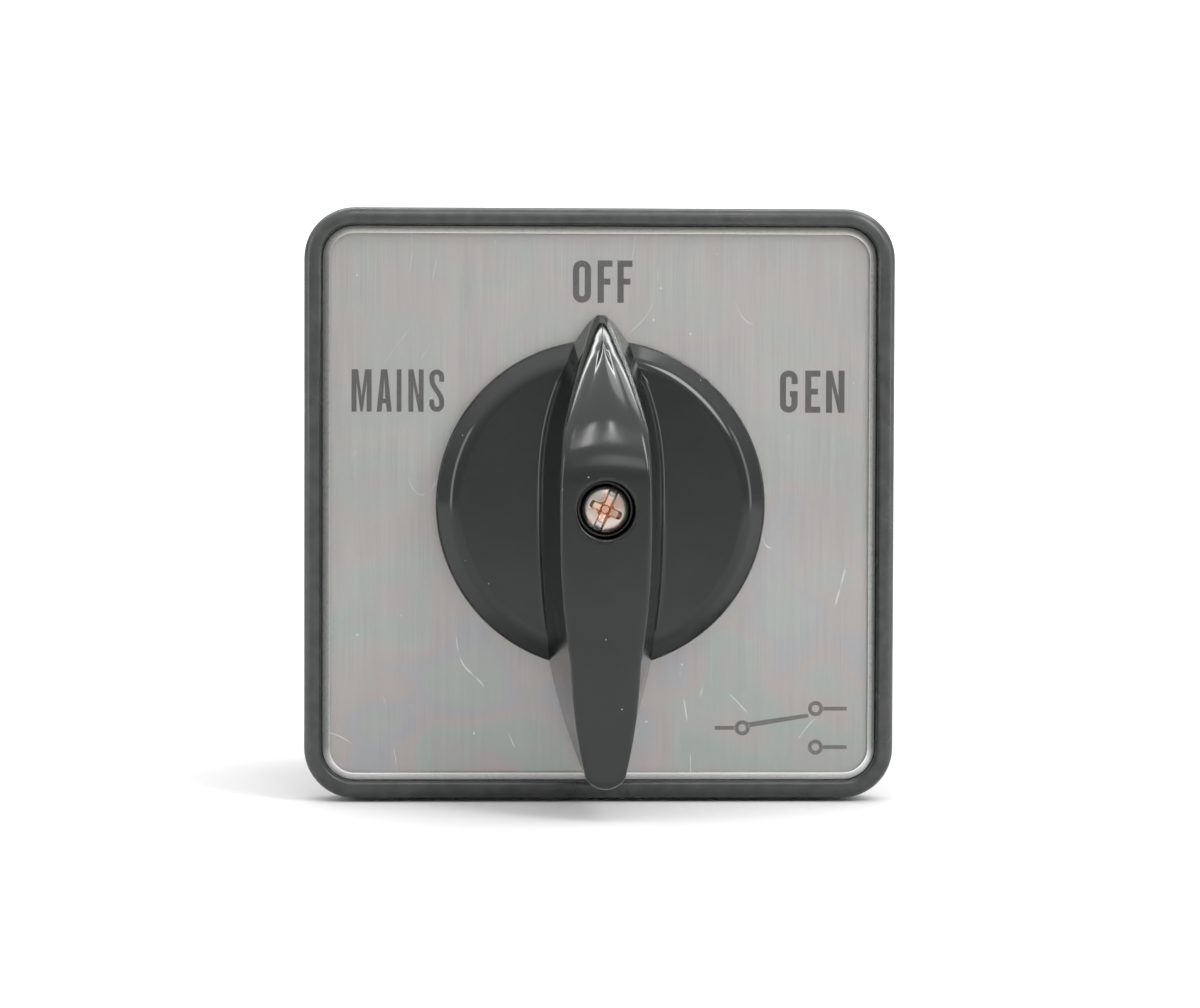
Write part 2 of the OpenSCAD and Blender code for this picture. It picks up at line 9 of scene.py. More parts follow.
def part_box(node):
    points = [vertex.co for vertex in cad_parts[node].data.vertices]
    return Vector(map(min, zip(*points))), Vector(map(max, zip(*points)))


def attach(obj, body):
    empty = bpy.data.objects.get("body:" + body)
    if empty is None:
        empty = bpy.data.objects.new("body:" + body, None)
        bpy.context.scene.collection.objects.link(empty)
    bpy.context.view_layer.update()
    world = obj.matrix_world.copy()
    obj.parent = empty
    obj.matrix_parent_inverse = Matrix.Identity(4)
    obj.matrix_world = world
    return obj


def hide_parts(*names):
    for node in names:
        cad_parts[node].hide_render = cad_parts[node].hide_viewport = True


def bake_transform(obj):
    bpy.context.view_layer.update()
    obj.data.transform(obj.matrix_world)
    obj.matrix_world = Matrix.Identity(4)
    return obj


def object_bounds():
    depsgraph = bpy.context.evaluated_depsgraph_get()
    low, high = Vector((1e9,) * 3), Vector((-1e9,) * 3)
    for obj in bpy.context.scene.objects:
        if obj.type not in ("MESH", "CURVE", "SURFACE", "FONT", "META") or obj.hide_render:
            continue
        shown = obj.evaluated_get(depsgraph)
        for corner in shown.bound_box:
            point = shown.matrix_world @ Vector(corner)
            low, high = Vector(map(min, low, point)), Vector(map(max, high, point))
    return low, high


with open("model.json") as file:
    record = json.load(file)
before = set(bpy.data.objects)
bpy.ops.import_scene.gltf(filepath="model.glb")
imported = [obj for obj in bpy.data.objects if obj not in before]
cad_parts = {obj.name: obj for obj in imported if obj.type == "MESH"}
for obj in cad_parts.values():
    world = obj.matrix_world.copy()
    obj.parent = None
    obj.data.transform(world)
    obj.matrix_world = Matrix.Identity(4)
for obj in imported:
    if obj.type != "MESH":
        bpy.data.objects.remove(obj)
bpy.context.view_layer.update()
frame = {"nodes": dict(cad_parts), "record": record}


# ---- Bezel ----
# The square front moulding, in black ABS with a fine satin polish. Its raised rim holds the legend
# plate and the window, and four screws under them clamp it on the panel.

MM = 0.001  # sizes below are in mm, and the frame is in metres
bezel_low, bezel_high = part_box("bezel")
bezel_half = bezel_high.x / MM
bezel_corner = 5.5
rim_top = -bezel_low.y / MM
rim_w = 1.9
rim_edge_r = 1.1
rim_inner_r = 0.45
ledge_w = 1.2
hub_boss_w = 2
back_chamfer = 0.25
least_corner_r = 0.25
bezel_back = -bezel_high.y / MM
legend_back = -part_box("legend_plate")[1].y / MM
legend_front = -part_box("legend_plate")[0].y / MM
floor_front = 3.0
hub_hole_r = 6.35
mount = frame["record"]["mounts"][0]["dims"]
screw_pitch, screw_hole_r = mount["spacing_x_mm"], mount["hole_r_mm"]


def stand(points):
    """Turns front-view points (x right, y up, z towards the operator, in mm) into the frame:
    X = x, Y = -z, Z = y, in metres."""
    points = np.asarray(points, float)
    return np.stack([points[..., 0], -points[..., 2], points[..., 1]], axis=-1) * MM


def arc(centre, radius, start, end, steps):
    """Points of a circle: centre + radius (cos t, sin t) for t from start to end, in degrees."""
    t = np.radians(np.linspace(start, end, steps))
    return np.stack([centre[0] + radius * np.cos(t), centre[1] + radius * np.sin(t)], axis=-1)


def square_loops(profile, half, corner, steps=14):
    """Carries a profile round a square with round corners. A profile point (inset, height) gives
    the square of half width half - inset, whose corners are quarter circles of radius
    corner - inset, or a little if that is less. Returns one row of points per profile point."""
    inset, height = np.asarray(profile, float).T
    radius = np.maximum(corner - inset, least_corner_r)[:, None]
    middle = half - inset[:, None] - radius
    quarter = np.linspace(0, np.pi / 2, steps)
    turn = np.concatenate([quarter + k * np.pi / 2 for k in range(4)])[None, :]
    sign_x = np.repeat([1, -1, -1, 1], steps)[None, :]
    sign_y = np.repeat([1, 1, -1, -1], steps)[None, :]
    x = sign_x * middle + radius * np.cos(turn)
    y = sign_y * middle + radius * np.sin(turn)
    return np.stack([x, y, np.broadcast_to(height[:, None], x.shape)], axis=-1)


def round_loops(profile, turns):
    """Carries a profile of (radius, height) points round the Z axis: (r cos t, r sin t, z) at the
    given turns t."""
    radius, height = np.asarray(profile, float).T
    x = radius[:, None] * np.cos(turns)[None, :]
    y = radius[:, None] * np.sin(turns)[None, :]
    return np.stack([x, y, np.broadcast_to(height[:, None], x.shape)], axis=-1)


def square_turns(half, corner):
    """The angles at which square_loops puts its points, so that a round loop can meet it."""
    outer = square_loops([(0, 0)], half, corner)[0]
    return np.arctan2(outer[:, 1], outer[:, 0])


def grid_faces(rows, columns, close_rows=False):
    """Quads between neighbouring rows of a grid whose columns close on themselves. The last row
    meets the first if close_rows is set."""
    index = np.arange(rows * columns).reshape(rows, columns)
    low = index if close_rows else index[:-1]
    high = np.roll(index, -1, axis=0) if close_rows else index[1:]
    quads = np.stack([low, np.roll(low, -1, 1), np.roll(high, -1, 1), high], axis=-1)
    return quads.reshape(-1, 4).tolist()


def end_faces(rows, columns):
    """The first and the last row of such a grid, each as one face that closes its end."""
    return [list(range(columns)), list(range(columns * (rows - 1), columns * rows))]


def placed(name, data):
    """An object in the scene for a mesh, a light or a camera."""
    piece = bpy.data.objects.new(name, data)
    bpy.context.scene.collection.objects.link(piece)
    return piece


def shade_smooth(mesh, sharp):
    """Smooth shading, broken at edges sharper than the given angle."""
    mesh.polygons.foreach_set("use_smooth", [True] * len(mesh.polygons))
    mesh.set_sharp_from_angle(angle=np.radians(sharp))


def tidy_mesh(mesh, sharp):
    """Merges doubles, turns the faces outwards and shades them smooth between sharp edges."""
    work = bmesh.new()
    work.from_mesh(mesh)
    bmesh.ops.remove_doubles(work, verts=work.verts, dist=1e-7)
    bmesh.ops.recalc_face_normals(work, faces=work.faces)
    work.to_mesh(mesh)
    work.free()
    shade_smooth(mesh, sharp)


def mesh_piece(name, points, faces, sharp=35):
    """Makes a closed piece from frame points and faces."""
    mesh = bpy.data.meshes.new(name)
    mesh.from_pydata(np.asarray(points).reshape(-1, 3).tolist(), [], faces)
    tidy_mesh(mesh, sharp)
    return placed(name, mesh)


def grid_piece(name, loops, sharp=35, ring=False):
    """A piece from rows of front-view points. A ring's last row meets its first, and otherwise
    each end is closed by a face."""
    rows, columns = loops.shape[:2]
    faces = grid_faces(rows, columns, close_rows=ring) + ([] if ring else end_faces(rows, columns))
    return mesh_piece(name, stand(loops), faces, sharp)


def combined(name, first, operation, others, sharp=35):
    """The solid left when others are joined to first or cut from it. The pieces go in as closed
    meshes, and come back as one."""
    for other in others:
        change = first.modifiers.new(operation, "BOOLEAN")
        change.operation, change.solver, change.object = operation, "EXACT", other
    shown = first.evaluated_get(bpy.context.evaluated_depsgraph_get())
    mesh = bpy.data.meshes.new_from_object(shown)
    for used in [first, *others]:
        bpy.data.objects.remove(used)
    tidy_mesh(mesh, sharp)
    mesh.name = name
    return placed(name, mesh)


def even_shading(piece):
    """Gives a flat face's normal to its whole face, so that only the rounded edges shade round."""
    weigh = piece.modifiers.new("even_shading", "WEIGHTED_NORMAL")
    weigh.keep_sharp = True
    return piece


def whole_turn(steps):
    """Angles once round a circle, in radians."""
    return np.linspace(0, 2 * np.pi, steps, endpoint=False)


def cylinder(radius, back, front, x, y):
    """A closed round post from back to front, for cutting holes."""
    loops = round_loops([(radius, back), (radius, front)], whole_turn(48))
    return grid_piece("cutter", loops + [x, y, 0])



outer_edge = arc((rim_edge_r, rim_top - rim_edge_r), rim_edge_r, 180, 90, 9)
inner_edge = arc((rim_w - rim_inner_r, rim_top - rim_inner_r), rim_inner_r, 90, 0, 6)
ledge_in = rim_w + ledge_w
bezel_profile = np.concatenate([
    [(back_chamfer, bezel_back), (0, bezel_back + back_chamfer)], outer_edge, inner_edge,
    [(rim_w, legend_back), (ledge_in, legend_back), (ledge_in, floor_front)]])
hub_boss_r = hub_hole_r + hub_boss_w
hub_profile = [(hub_boss_r, floor_front), (hub_boss_r, legend_back), (hub_hole_r, legend_back),
               (hub_hole_r, bezel_back)]
bezel_loops = np.concatenate([square_loops(bezel_profile, bezel_half, bezel_corner),
                              round_loops(hub_profile, square_turns(bezel_half, bezel_corner))])
bezel = grid_piece("bezel_moulding", bezel_loops, ring=True)
screw_places = (-screw_pitch / 2, screw_pitch / 2)
bezel_holes = [cylinder(screw_hole_r, bezel_back - 1, floor_front + 1, x, y)
               for x in screw_places for y in screw_places]
bezel = even_shading(combined("bezel_moulding", bezel, "DIFFERENCE", bezel_holes))
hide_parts("bezel")
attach(bezel, "switch_body")


def linear(hex_colour):
    """A colour such as "b4b2b0", as the eye sees it, in the linear light that shaders work in, by
    the sRGB formula: c / 12.92 when dark, and otherwise ((c + 0.055) / 1.055)^2.4."""
    parts = np.array([int(hex_colour[k:k + 2], 16) for k in (0, 2, 4)]) / 255
    light = np.where(parts <= 0.04045, parts / 12.92, ((parts + 0.055) / 1.055) ** 2.4)
    return (*light.tolist(), 1.0)


def new_material(name, colour, roughness, **sockets):
    """A material with its Principled shader set from plain values, and the coordinates that its
    patterns read. Returns the material, its shader and the coordinates."""
    material = bpy.data.materials.new(name)
    material.use_nodes = True
    shader = material.node_tree.nodes["Principled BSDF"]
    shader.inputs["Base Color"].default_value = linear(colour)
    shader.inputs["Roughness"].default_value = roughness
    for socket, value in sockets.items():
        shader.inputs[socket.replace("_", " ")].default_value = value
    place = material.node_tree.nodes.new("ShaderNodeTexCoord").outputs["Object"]
    return material, shader, place


def add(material, kind, settings=(), links=(), **values):
    """Adds one node. settings are its own properties, links its sockets fed by other nodes, and
    values its sockets by name, or n1 for the second socket. Returns the node."""
    node = material.node_tree.nodes.new("ShaderNode" + kind)
    for key, value in dict(settings).items():
        setattr(node, key, value)
    for key, value in values.items():
        numbered = key[0] == "n" and key[1:].isdigit()
        socket = int(key[1:]) if numbered else key.replace("_", " ")
        node.inputs[socket].default_value = value
    for key, source in dict(links).items():
        material.node_tree.links.new(source, node.inputs[key])
    return node


def feed(shader, **sources):
    """Lets patterns drive the shader's sockets, such as Base_Color."""
    for socket, source in sources.items():
        shader.id_data.links.new(source, shader.inputs[socket.replace("_", " ")])


def blended(material, low, high, factor, blend="MIX"):
    """A colour between low and high, each a hex colour or a node's output, by a factor that is a
    number or a node's output."""
    node = add(material, "Mix", {"data_type": "RGBA", "blend_type": blend})
    for socket, source in ((0, factor), (6, low), (7, high)):
        if isinstance(source, bpy.types.NodeSocket):
            material.node_tree.links.new(source, node.inputs[socket])
        else:
            node.inputs[socket].default_value = linear(source) if isinstance(source, str) else source
    return node.outputs[2]


def ramp(material, source, stops):
    """Turns a value into colours: stops are (place, hex colour) from low to high."""
    node = add(material, "ValToRGB", links={"Fac": source})
    while len(node.color_ramp.elements) < len(stops):
        node.color_ramp.elements.new(0.5)
    for element, (place, colour) in zip(node.color_ramp.elements, stops):
        element.position, element.color = place, linear(colour)
    return node.outputs["Color"]


def spread(material, source, low, high, from_low=0.35, from_high=0.65):
    """Stretches a noise's usual span to the span from low to high."""
    return add(material, "MapRange", links={"Value": source}, From_Min=from_low, From_Max=from_high,
               To_Min=low, To_Max=high).outputs["Result"]


def noise(material, place, size_mm, detail=3.0, stretch=(1, 1, 1)):
    """Cloudy noise whose lumps are about size_mm wide, longer along an axis with a small stretch."""
    scaled = add(material, "Mapping", links={"Vector": place}, Scale=stretch)
    return add(material, "TexNoise", links={"Vector": scaled.outputs["Vector"]},
               Scale=1 / (size_mm * MM), Detail=detail).outputs["Fac"]


def bump(material, shader, height, depth_mm, strength=1.0):
    """Raises the surface by up to depth_mm where height is 1."""
    node = add(material, "Bump", links={"Height": height}, Strength=strength, Distance=depth_mm * MM)
    feed(shader, Normal=node.outputs["Normal"])


def satin_black_abs():
    """Moulded ABS with a satin finish: soft broad reflections, a faint spark-eroded grain of
    0.15 mm, slightly uneven gloss and a greyish bloom from handling."""
    material, shader, place = new_material("moulded_satin_black_abs", "2b2d2d", 0.3, IOR=1.53)
    gloss = spread(material, noise(material, place, 9), 0.24, 0.36)
    feed(shader, Roughness=gloss)
    bloom = ramp(material, noise(material, place, 1.6, 5), [(0.35, "262828"), (0.7, "353735")])
    feed(shader, Base_Color=bloom)
    bump(material, shader, noise(material, place, 0.15, 2), 0.003)
    return material


bezel.data.materials.append(satin_black_abs())


# ---- Gasket ----
# A square of smooth black sheet rubber between the bezel and the panel, die-cut with its holes.
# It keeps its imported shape, with the cut edges just broken.

def sheet_rubber():
    """Calendered nitrile rubber sheet: dull, with a faint 0.4 mm mottle and pale bloom."""
    material, shader, place = new_material("calendered_nitrile_rubber", "262626", 0.75, IOR=1.52)
    bloom = ramp(material, noise(material, place, 4), [(0.3, "222222"), (0.75, "333331")])
    feed(shader, Base_Color=bloom)
    bump(material, shader, noise(material, place, 0.4, 2), 0.01)
    return material


def finish_node(node, material):
    """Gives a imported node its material."""
    cad = frame["nodes"][node]
    cad.data.materials.clear()
    cad.data.materials.append(material)


def softened(node, width_mm, material, sharp=35):
    """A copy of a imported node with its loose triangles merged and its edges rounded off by
    width_mm, as tumbling or a worn mould leaves them. It stands for the node."""
    cad = frame["nodes"][node]
    piece = placed(node + "_finished", cad.data.copy())
    work = bmesh.new()
    work.from_mesh(piece.data)
    bmesh.ops.remove_doubles(work, verts=work.verts, dist=1e-6)
    bmesh.ops.dissolve_limit(work, angle_limit=np.radians(0.5), verts=work.verts, edges=work.edges)
    work.to_mesh(piece.data)
    work.free()
    shade_smooth(piece.data, sharp)
    edges = piece.modifiers.new("rounded_edges", "BEVEL")
    edges.width, edges.segments, edges.limit_method = width_mm * MM, 2, "ANGLE"
    edges.angle_limit = np.radians(sharp)
    edges.use_clamp_overlap = True
    even_shading(piece)
    piece.data.materials.clear()
    piece.data.materials.append(material)
    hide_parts(node)
    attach(piece, body_of_node[node])
    return piece


bodies = frame["record"]["behaviour"]["bodies"]
body_of_node = {node: body for body, its_nodes in bodies.items() for node in its_nodes}
softened("panel_gasket", 0.08, sheet_rubber())


# ---- Legend plate ----
# Aluminium sheet, brushed up and down and clear anodised, that sits on the bezel's ledge under
# the window. The knob's hub passes through its hole.

plate_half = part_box("legend_plate")[1].x / MM
plate_corner = bezel_corner - rim_w - 0.1
plate_hole_r = 6.8
burr = 0.05
plate_profile = [(0, legend_back), (0, legend_front - burr), (burr, legend_front)]
plate_hole = [(plate_hole_r, legend_front), (plate_hole_r, legend_back)]
plate_loops = np.concatenate([
    square_loops(plate_profile, plate_half, plate_corner),
    round_loops(plate_hole, square_turns(plate_half, plate_corner))])
plate = even_shading(grid_piece("legend_plate_sheet", plate_loops, ring=True))
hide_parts("legend_plate")
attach(plate, "switch_body")


def brushed_aluminium():
    """Brushed, clear anodised aluminium: upright scratches about 0.12 mm apart and 10 mm long,
    drawn coarse enough to show. The anodic film gives faint pink, green and lilac clouds, mostly
    in the lower half. The same gradient paints the plate darker towards the bottom and paler
    towards the top, painted shade and light for how the lamps fall on it. A few hairline
    scratches and white specks of dust lie over it."""
    material, shader, place = new_material("brushed_anodised_aluminium", "cfcdcb", 0.36,
                                           Metallic=0.85)
    fine = noise(material, place, 0.12, 2, (1, 0.02, 0.012))
    broad = noise(material, place, 0.9, 2, (1, 0.1, 0.02))
    brushing = add(material, "Mix", {"data_type": "FLOAT"}, {"A": fine, "B": broad}, Factor=0.3)
    streaks = brushing.outputs["Result"]
    tone = ramp(material, spread(material, streaks, 0, 1, 0.3, 0.7),
                [(0.0, "b5b3b1"), (1.0, "c4c3c1")])
    height = add(material, "SeparateXYZ", links={"Vector": place}).outputs["Z"]
    # painted shade: 1 at the bottom of the plate and 0 towards the top, so the colour is painted darker
    # below and paler above
    low = spread(material, height, 1, 0, -24 * MM, 12 * MM)
    clouds = ramp(material, noise(material, place, 11, 1, (1, 1, 1.2)),
                  [(0.3, "c4cdc6"), (0.4, "c6c5ce"), (0.47, "d4c6c1"), (0.54, "c8cbc8"),
                   (0.6, "bccbc3"), (0.7, "d0c3c4")])
    # real anodic tint and painted shade: the clouds are mixed towards near white at the top and used in
    # full at the bottom
    tint_and_painted_shade = blended(material, "f2f1ef", clouds, spread(material, low, 0.35, 1, 0, 1))
    # the brushing tone multiplied by the tint and the painted shade
    film = blended(material, tone, tint_and_painted_shade, 1.0, "MULTIPLY")
    lines = noise(material, place, 14, 0.5, (1, 1, 0.45))
    off_line = add(material, "Math", {"operation": "PINGPONG"}, n1=0.05, links={0: lines}).outputs[0]
    hairline = spread(material, off_line, 1, 0, 0.0002, 0.0011)
    rare = spread(material, noise(material, place, 4, 1), 0, 1, 0.6, 0.66)
    grains = add(material, "TexVoronoi", links={"Vector": place}, Scale=1 / (3.2 * MM))
    speck = spread(material, grains.outputs["Distance"], 1, 0, 0.024, 0.04)
    scratch = add(material, "Math", {"operation": "MULTIPLY"}, links={0: hairline, 1: rare}).outputs[0]
    marks = add(material, "Math", {"operation": "MAXIMUM"}, links={0: scratch, 1: speck}).outputs[0]
    marked = blended(material, film, "ffffff", spread(material, marks, 0, 0.42, 0, 1))
    feed(shader, Base_Color=marked)
    feed(shader, Roughness=spread(material, streaks, 0.3, 0.42, 0.3, 0.7))
    return material


plate.data.materials.append(brushed_aluminium())


# ---- Printed legends ----
# Dark grey ink, screen printed on the plate: the three positions in condensed capitals, and a
# plain changeover symbol in the lower right corner.

ink_t = 0.025
letter_h = 4.58
waist = 0.43  # height of the lower edge of the middle bar in E and F


def closed_ribbon(path, width):
    """The outline of a stroke: the path moved width / 2 to each side along its normals, with the
    corners mitred, and joined at its ends."""
    path = np.asarray(path, float)
    step = np.diff(path, axis=0)
    step /= np.linalg.norm(step, axis=1)[:, None]
    before = np.concatenate([step[:1], step])
    after = np.concatenate([step, step[-1:]])
    along = before + after
    along /= np.linalg.norm(along, axis=1)[:, None]
    side = np.stack([-along[:, 1], along[:, 0]], axis=-1)
    reach = width / 2 / np.maximum((before * along).sum(axis=1), 0.5)
    return np.concatenate([path + side * reach[:, None], (path - side * reach[:, None])[::-1]])


# Each letter is 1 high, w wide and drawn with strokes s wide. It is a list of closed outlines:
# the outer line, and then its holes

def stadium(w, r):
    """Two half circles of radius r, at the top and the bottom of a letter, for straight sides."""
    return [arc((w / 2, 1 - w / 2), r, 0, 180, 17), arc((w / 2, w / 2), r, 180, 360, 17)]


def letter_o(w, s):
    """An outer and an inner line, s apart, each of half circles joined by straight sides."""
    return [np.concatenate(stadium(w, r)) for r in (w / 2, w / 2 - s)]


def arms_up(w, s, share):
    """The middle and the top arm of E and F, from the foot of the middle one to the top left. The
    middle arm reaches a share of the width and is a little thinner."""
    bar_top = waist + s * 0.95
    return [(s, waist), (w * share, waist), (w * share, bar_top), (s, bar_top),
            (s, 1 - s), (w, 1 - s), (w, 1), (0, 1)]


def letter_f(w, s):
    return [np.array([(0, 0), (s, 0)] + arms_up(w, s, 0.86))]


def letter_e(w, s):
    return [np.array([(0, 0), (w, 0), (w, s), (s, s)] + arms_up(w, s, 0.84))]


def letter_g(w, s):
    """A stroke up over a half circle, down the left, round a half circle and up to a short bar."""
    right = w - s / 2
    path = np.concatenate([[(right, 0.68)], *stadium(w, (w - s) / 2), [(right, 0.44), (w * 0.56, 0.44)]])
    return [closed_ribbon(path, s)]


def letter_s(w, s):
    """Two half circles joined by a cosine curve x = mid - r cos(pi t) that runs down and right."""
    r, mid = (w - s) / 2, w / 2
    t = np.linspace(0, 1, 14)[1:-1]
    bend = np.column_stack([mid - r * np.cos(np.pi * t), 0.76 - 0.52 * t])
    path = np.concatenate([[(w - s / 2, 0.71)], arc((mid, 1 - mid), r, 0, 180, 17), bend,
                           arc((mid, mid), r, 0, -180, 17), [(s / 2, 0.29)]])
    return [closed_ribbon(path, s)]


def letter_n(w, s):
    """Two uprights and a diagonal that meets them at 0.38 and 0.62 of the height."""
    return [np.array([(0, 0), (s, 0), (s, 0.62), (w - s, 0), (w, 0), (w, 1), (w - s, 1),
                      (w - s, 0.38), (s, 1), (0, 1)])]


def letter_m(w, s):
    """Two uprights and a V between them, whose foot is a little flat."""
    middle, flat, thick = w / 2, 0.028, s * 1.3
    return [np.array([(0, 0), (s, 0), (s, 0.7), (middle - flat, 0), (middle + flat, 0), (w - s, 0.7),
                      (w - s, 0), (w, 0), (w, 1), (w - thick, 1), (middle, 0.36), (thick, 1), (0, 1)])]


def letter_a(w, s):
    """Two legs that meet in a flat top, with the notch between them and the hole above the bar."""
    middle, top, notch, hole = w / 2, s * 0.62, s + 0.022, s + 0.034
    outer = [(0, 0), (s, 0), (notch, 0.2), (w - notch, 0.2), (w - s, 0), (w, 0),
             (middle + top, 1), (middle - top, 1)]
    return [np.array(outer), np.array([(hole, 0.31), (w - hole, 0.31), (middle, 0.8)])]


def letter_i(w, s):
    return [np.array([(0, 0), (w, 0), (w, 1), (0, 1)])]


def printed(name, outlines):
    """Thin closed solids of ink on the plate from closed outlines in mm, each filled between its
    outer line and its holes."""
    work = bmesh.new()
    for outline in outlines:
        for loop in outline:
            on_plate = stand(np.column_stack([loop, np.full(len(loop), legend_front)]))
            corners = [work.verts.new(point) for point in on_plate]
            for k, corner in enumerate(corners):
                work.edges.new((corner, corners[(k + 1) % len(corners)]))
    bmesh.ops.triangle_fill(work, edges=work.edges, use_beauty=True)
    skin = bmesh.ops.extrude_face_region(work, geom=work.faces[:], use_keep_orig=True)
    raised = [v for v in skin["geom"] if isinstance(v, bmesh.types.BMVert)]
    bmesh.ops.translate(work, verts=raised, vec=(0, -ink_t * MM, 0))
    mesh = bpy.data.meshes.new(name)
    work.to_mesh(mesh)
    work.free()
    tidy_mesh(mesh, 35)
    piece = placed(name, mesh)
    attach(piece, "switch_body")
    return piece


def word(name, letters, stroke, centre):
    """A word of condensed capitals, centred on a point of the plate: each letter's shape, its
    width and the gap after it, as shares of the letters' height."""
    width = sum(w + gap for _, w, gap in letters) - letters[-1][2]
    at, outlines = -width / 2, []
    for shape, w, gap in letters:
        outlines.append([(loop + [at, -0.5]) * letter_h + centre for loop in shape(w, stroke)])
        at += w + gap
    return printed(name, outlines)


def screen_ink():
    """Screen-printed epoxy ink: nearly black, dull, a little thin over the brushing."""
    material, shader, place = new_material("screen_printed_ink", "2c2826", 0.6, IOR=1.5)
    thin = ramp(material, noise(material, place, 0.3, 3, (1, 1, 0.2)), [(0.3, "262322"), (0.75, "3c3836")])
    feed(shader, Base_Color=thin)
    return material


off = [(letter_o, 0.43, 0.155), (letter_f, 0.35, 0.118), (letter_f, 0.355, 0)]
mains = [(letter_m, 0.473, 0.118), (letter_a, 0.36, 0.114), (letter_i, 0.112, 0.164),
         (letter_n, 0.36, 0.136), (letter_s, 0.35, 0)]
gen = [(letter_g, 0.42, 0.18), (letter_e, 0.36, 0.135), (letter_n, 0.44, 0)]
legends = [word("legend_off", off, 0.15, (0.26, 24.05)),
           word("legend_mains", mains, 0.118, (-21.87, 12.2)),
           word("legend_gen", gen, 0.145, (23.07, 12.2))]

# The changeover symbol: a common pole on the left, two ways on the right, and an arm from the
# pole to the upper way
symbol_at = np.array([20.2, -24.4])
symbol_line = 0.42
symbol_contact_r = 0.62
way_y = 2.1


def symbol_ring(x, y):
    """A contact of the symbol: the outer and the inner line of a ring."""
    return [arc(symbol_at + [x, y], symbol_contact_r + side * symbol_line / 2, 0, 360, 25)[:-1]
            for side in (1, -1)]


symbol = [symbol_ring(-4.6, 0), symbol_ring(3.4, way_y), symbol_ring(3.4, -way_y)]
for path in ([(-7.6, 0), (-5.45, 0)], [(-3.9, 0.25), (2.6, 1.35)],
             [(4.25, way_y), (6.8, way_y)], [(4.25, -way_y), (6.8, -way_y)]):
    symbol.append([closed_ribbon(symbol_at + np.array(path), symbol_line)])
legends.append(printed("legend_changeover_symbol", symbol))
ink = screen_ink()
for legend in legends:
    legend.data.materials.append(ink)


# ---- Window ----
# A flat cover moulded in clear polycarbonate, with a bevel all round that catches the light. It
# snaps inside the bezel's rim and keeps the legends clean.

window_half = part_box("clear_window")[1].x / MM
window_front = -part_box("clear_window")[0].y / MM
window_back = legend_front + 0.07
window_bevel = 0.8
window_profile = [(0.04, window_back), (0, window_back + 0.04), (0, window_front - window_bevel),
                  (window_bevel - 0.08, window_front - 0.03), (window_bevel, window_front)]
window_hole = [(plate_hole_r, window_front), (plate_hole_r, window_back)]
window_loops = np.concatenate([
    square_loops(window_profile, window_half, plate_corner),
    round_loops(window_hole, square_turns(window_half, plate_corner))])
window = even_shading(grid_piece("clear_window_moulding", window_loops, sharp=20, ring=True))
window.visible_shadow = False  # a clear sheet lets the light through to the plate
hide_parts("clear_window")
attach(window, "switch_body")


def clear_polycarbonate():
    """Injection moulded polycarbonate: clear, glossy, with faint scuffs 3 mm apart from handling."""
    material, shader, place = new_material("moulded_clear_polycarbonate", "f7f8f8", 0.03, IOR=1.58,
                                           Transmission_Weight=1.0)
    scuffs = noise(material, place, 3, 4, (1, 1, 0.35))
    feed(shader, Roughness=spread(material, scuffs, 0.02, 0.1, 0.5, 0.8))
    return material


def ground_bevel():
    """The window's bevel, cut and left as ground: a whitish frosted face that scatters the light.
    It is painted white along the bottom and a little lighter along the top, a painted highlight of
    the light that the clear edge refracts there."""
    material, shader, place = new_material("ground_polycarbonate_bevel", "dfe1df", 0.35, IOR=1.58)
    height = add(material, "SeparateXYZ", links={"Vector": place}).outputs["Z"]
    # painted highlight: by height, white at the bottom of the bevel, grey up the sides and a little
    # lighter at the top
    frost_with_painted_highlight = ramp(material, spread(material, height, 0, 1, -window_half * MM, window_half * MM),
                 [(0.03, "ffffff"), (0.06, "a6a8a6"), (0.94, "8c8c88"), (1.0, "aaa9a4")])
    grit = spread(material, noise(material, place, 0.5, 3), 0.2, 0.5)
    feed(shader, Base_Color=frost_with_painted_highlight)
    feed(shader, Roughness=grit)
    return material


window.data.materials.append(clear_polycarbonate())
window.data.materials.append(ground_bevel())
facing = np.array([face.normal.y for face in window.data.polygons])
from_middle = [max(abs(face.center.x), abs(face.center.z)) / MM for face in window.data.polygons]
near_edge = np.array(from_middle) > window_half - window_bevel - plate_corner
on_bevel = (facing < -0.3) & (facing > -0.98) & near_edge
window.data.polygons.foreach_set("material_index", on_bevel.astype(np.int32))


# ---- Knob ----
# One compression moulding in glossy black phenolic: a round disc with a tapered grip across it,
# whose nose points to the position. The hub under it fits over the square shaft.

knob_low, knob_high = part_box("knob")
disc_r = knob_high.x / MM
tip_reach = knob_high.z / MM
tail_reach = -knob_low.z / MM
grip_top = -knob_low.y / MM
disc_back = window_front + 0.9
disc_front = disc_back + 3.4
disc_slope_w = 2.0
disc_slope_end = (0.3, 1.7)  # where the slope ends: in from the rim, and over the disc's back
grip_half_w = 6.6
disc_wall = 2.0
disc_hollow = 1.6
disc_arc_upper_r, disc_arc_lower_r = 1.9, 0.9
hub_r, hub_back = 6.2, 2.0
hub_ring_r = 7.2
grip_under = disc_back + 1.4
grip_lean = 0.12           # how far the flanks lean in for each mm of height
nose_lean = 0.1            # and how much more at the nose, from nose_lean_from on
nose_lean_from, nose_lean_over = 8, 9
nose_power, nose_past, nose_end_w = 2.7, 0.35, 0.95
tail_power, tail_past, tail_end_w = 2.4, 4, 1.4
flat_end = 3.0
tip_h = 1.7                # height of the nose's tip over the grip's underside
flank_edge_r, nose_edge_r = 0.55, 1.7
nose_crown = 0.45
fillet_r = 0.65
seat_r = 3.05
seat_depth = 4.0
seat_edge_r = 0.2
axis_r = 0.001             # a loop this small ends a profile on the axis


def smooth(x, low, high):
    """0 below low, 1 above high, and 3 t^2 - 2 t^3 between."""
    t = np.clip((x - low) / (high - low), 0, 1)
    return t * t * (3 - 2 * t)


